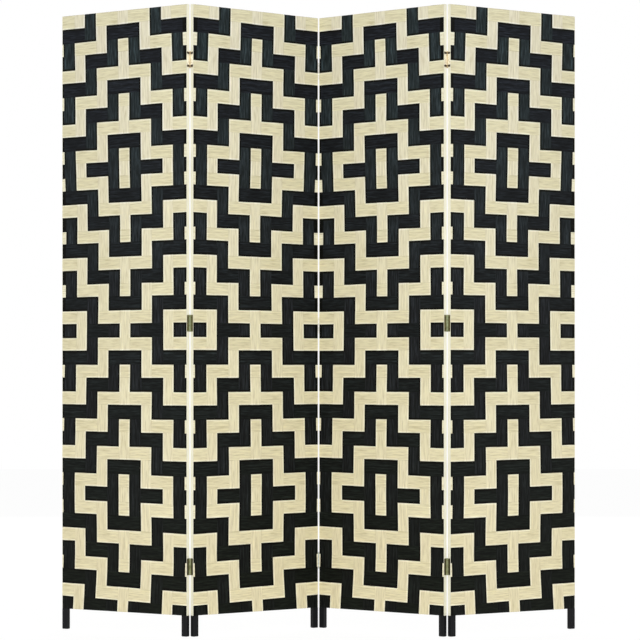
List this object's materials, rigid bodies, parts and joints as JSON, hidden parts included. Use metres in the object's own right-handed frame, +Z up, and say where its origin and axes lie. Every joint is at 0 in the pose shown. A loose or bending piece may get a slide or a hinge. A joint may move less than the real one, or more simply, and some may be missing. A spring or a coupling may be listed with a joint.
{
  "type": "woven wood folding screen",
  "caption": "Free-standing zigzag room divider: slim wood-framed panels with short legs, covered in flat black and cream wood strips in a pointed twill weave, joined by brass butt hinges.",
  "frame": {"origin": "on the floor, at the middle of the opened screen's bounding box", "axes": "+X along the screen to the viewer's right, +Y to its back, +Z up; the seams near the viewer are at -Y"},
  "size_m": [1.5066, 0.2882, 1.8],
  "materials": {
    "black_paint": "satin black paint over wood",
    "raw_wood": "planed softwood, unfinished",
    "band_wood": "pale cream stain, matt",
    "dark_strips": "black stain with a soft sheen, fine grain",
    "pale_strips": "cream wood, matt, with fine grain and brown flecks",
    "aged_brass": "aged, satin",
    "hinge_pins": "satin",
    "screw_brass": "satin"
  },
  "bodies": {
    "panel_1": {"panel_1_left_post": "black_paint", "panel_1_right_post": "black_paint", "panel_1_top_rail": "raw_wood", "panel_1_bottom_rail": "raw_wood", "panel_1_middle_rails": "raw_wood", "panel_1_dowels": "raw_wood", "panel_1_edge_bands": "band_wood", "panel_1_dark_warps": "dark_strips", "panel_1_pale_warps": "pale_strips", "panel_1_dark_wefts": "dark_strips", "panel_1_pale_wefts": "pale_strips", "seam_1_left_leaves": "aged_brass", "seam_1_pins": "hinge_pins", "seam_1_left_screws": "screw_brass"},
    "panel_2": {"panel_2_left_post": "black_paint", "panel_2_right_post": "black_paint", "panel_2_top_rail": "raw_wood", "panel_2_bottom_rail": "raw_wood", "panel_2_middle_rails": "raw_wood", "panel_2_dowels": "raw_wood", "panel_2_edge_bands": "band_wood", "panel_2_dark_warps": "dark_strips", "panel_2_pale_warps": "pale_strips", "panel_2_dark_wefts": "dark_strips", "panel_2_pale_wefts": "pale_strips", "seam_1_right_leaves": "aged_brass", "seam_1_right_screws": "screw_brass", "seam_2_left_leaves": "aged_brass", "seam_2_pins": "hinge_pins", "seam_2_left_screws": "screw_brass"},
    "panel_3": {"panel_3_left_post": "black_paint", "panel_3_right_post": "black_paint", "panel_3_top_rail": "raw_wood", "panel_3_bottom_rail": "raw_wood", "panel_3_middle_rails": "raw_wood", "panel_3_dowels": "raw_wood", "panel_3_edge_bands": "band_wood", "panel_3_dark_warps": "dark_strips", "panel_3_pale_warps": "pale_strips", "panel_3_dark_wefts": "dark_strips", "panel_3_pale_wefts": "pale_strips", "seam_2_right_leaves": "aged_brass", "seam_2_right_screws": "screw_brass", "seam_3_left_leaves": "aged_brass", "seam_3_pins": "hinge_pins", "seam_3_left_screws": "screw_brass"},
    "panel_4": {"panel_4_left_post": "black_paint", "panel_4_right_post": "black_paint", "panel_4_top_rail": "raw_wood", "panel_4_bottom_rail": "raw_wood", "panel_4_middle_rails": "raw_wood", "panel_4_dowels": "raw_wood", "panel_4_edge_bands": "band_wood", "panel_4_dark_warps": "dark_strips", "panel_4_pale_warps": "pale_strips", "panel_4_dark_wefts": "dark_strips", "panel_4_pale_wefts": "pale_strips", "seam_3_right_leaves": "aged_brass", "seam_3_right_screws": "screw_brass"}
  },
  "joints": [
    {"name": "fold_12", "type": "hinge", "parent": "panel_2", "child": "panel_1", "pos_m": [-0.36628, -0.13226, 0.892], "axis": [0, 0, 1], "range_deg": [-109.2, 70.8]},
    {"name": "fold_23", "type": "hinge", "parent": "panel_2", "child": "panel_3", "pos_m": [0, 0.1331, 0.892], "axis": [0, 0, 1], "range_deg": [-104, 76]},
    {"name": "fold_34", "type": "hinge", "parent": "panel_3", "child": "panel_4", "pos_m": [0.36628, -0.13226, 0.892], "axis": [0, 0, 1], "range_deg": [-70.8, 109.2]}
  ]
}
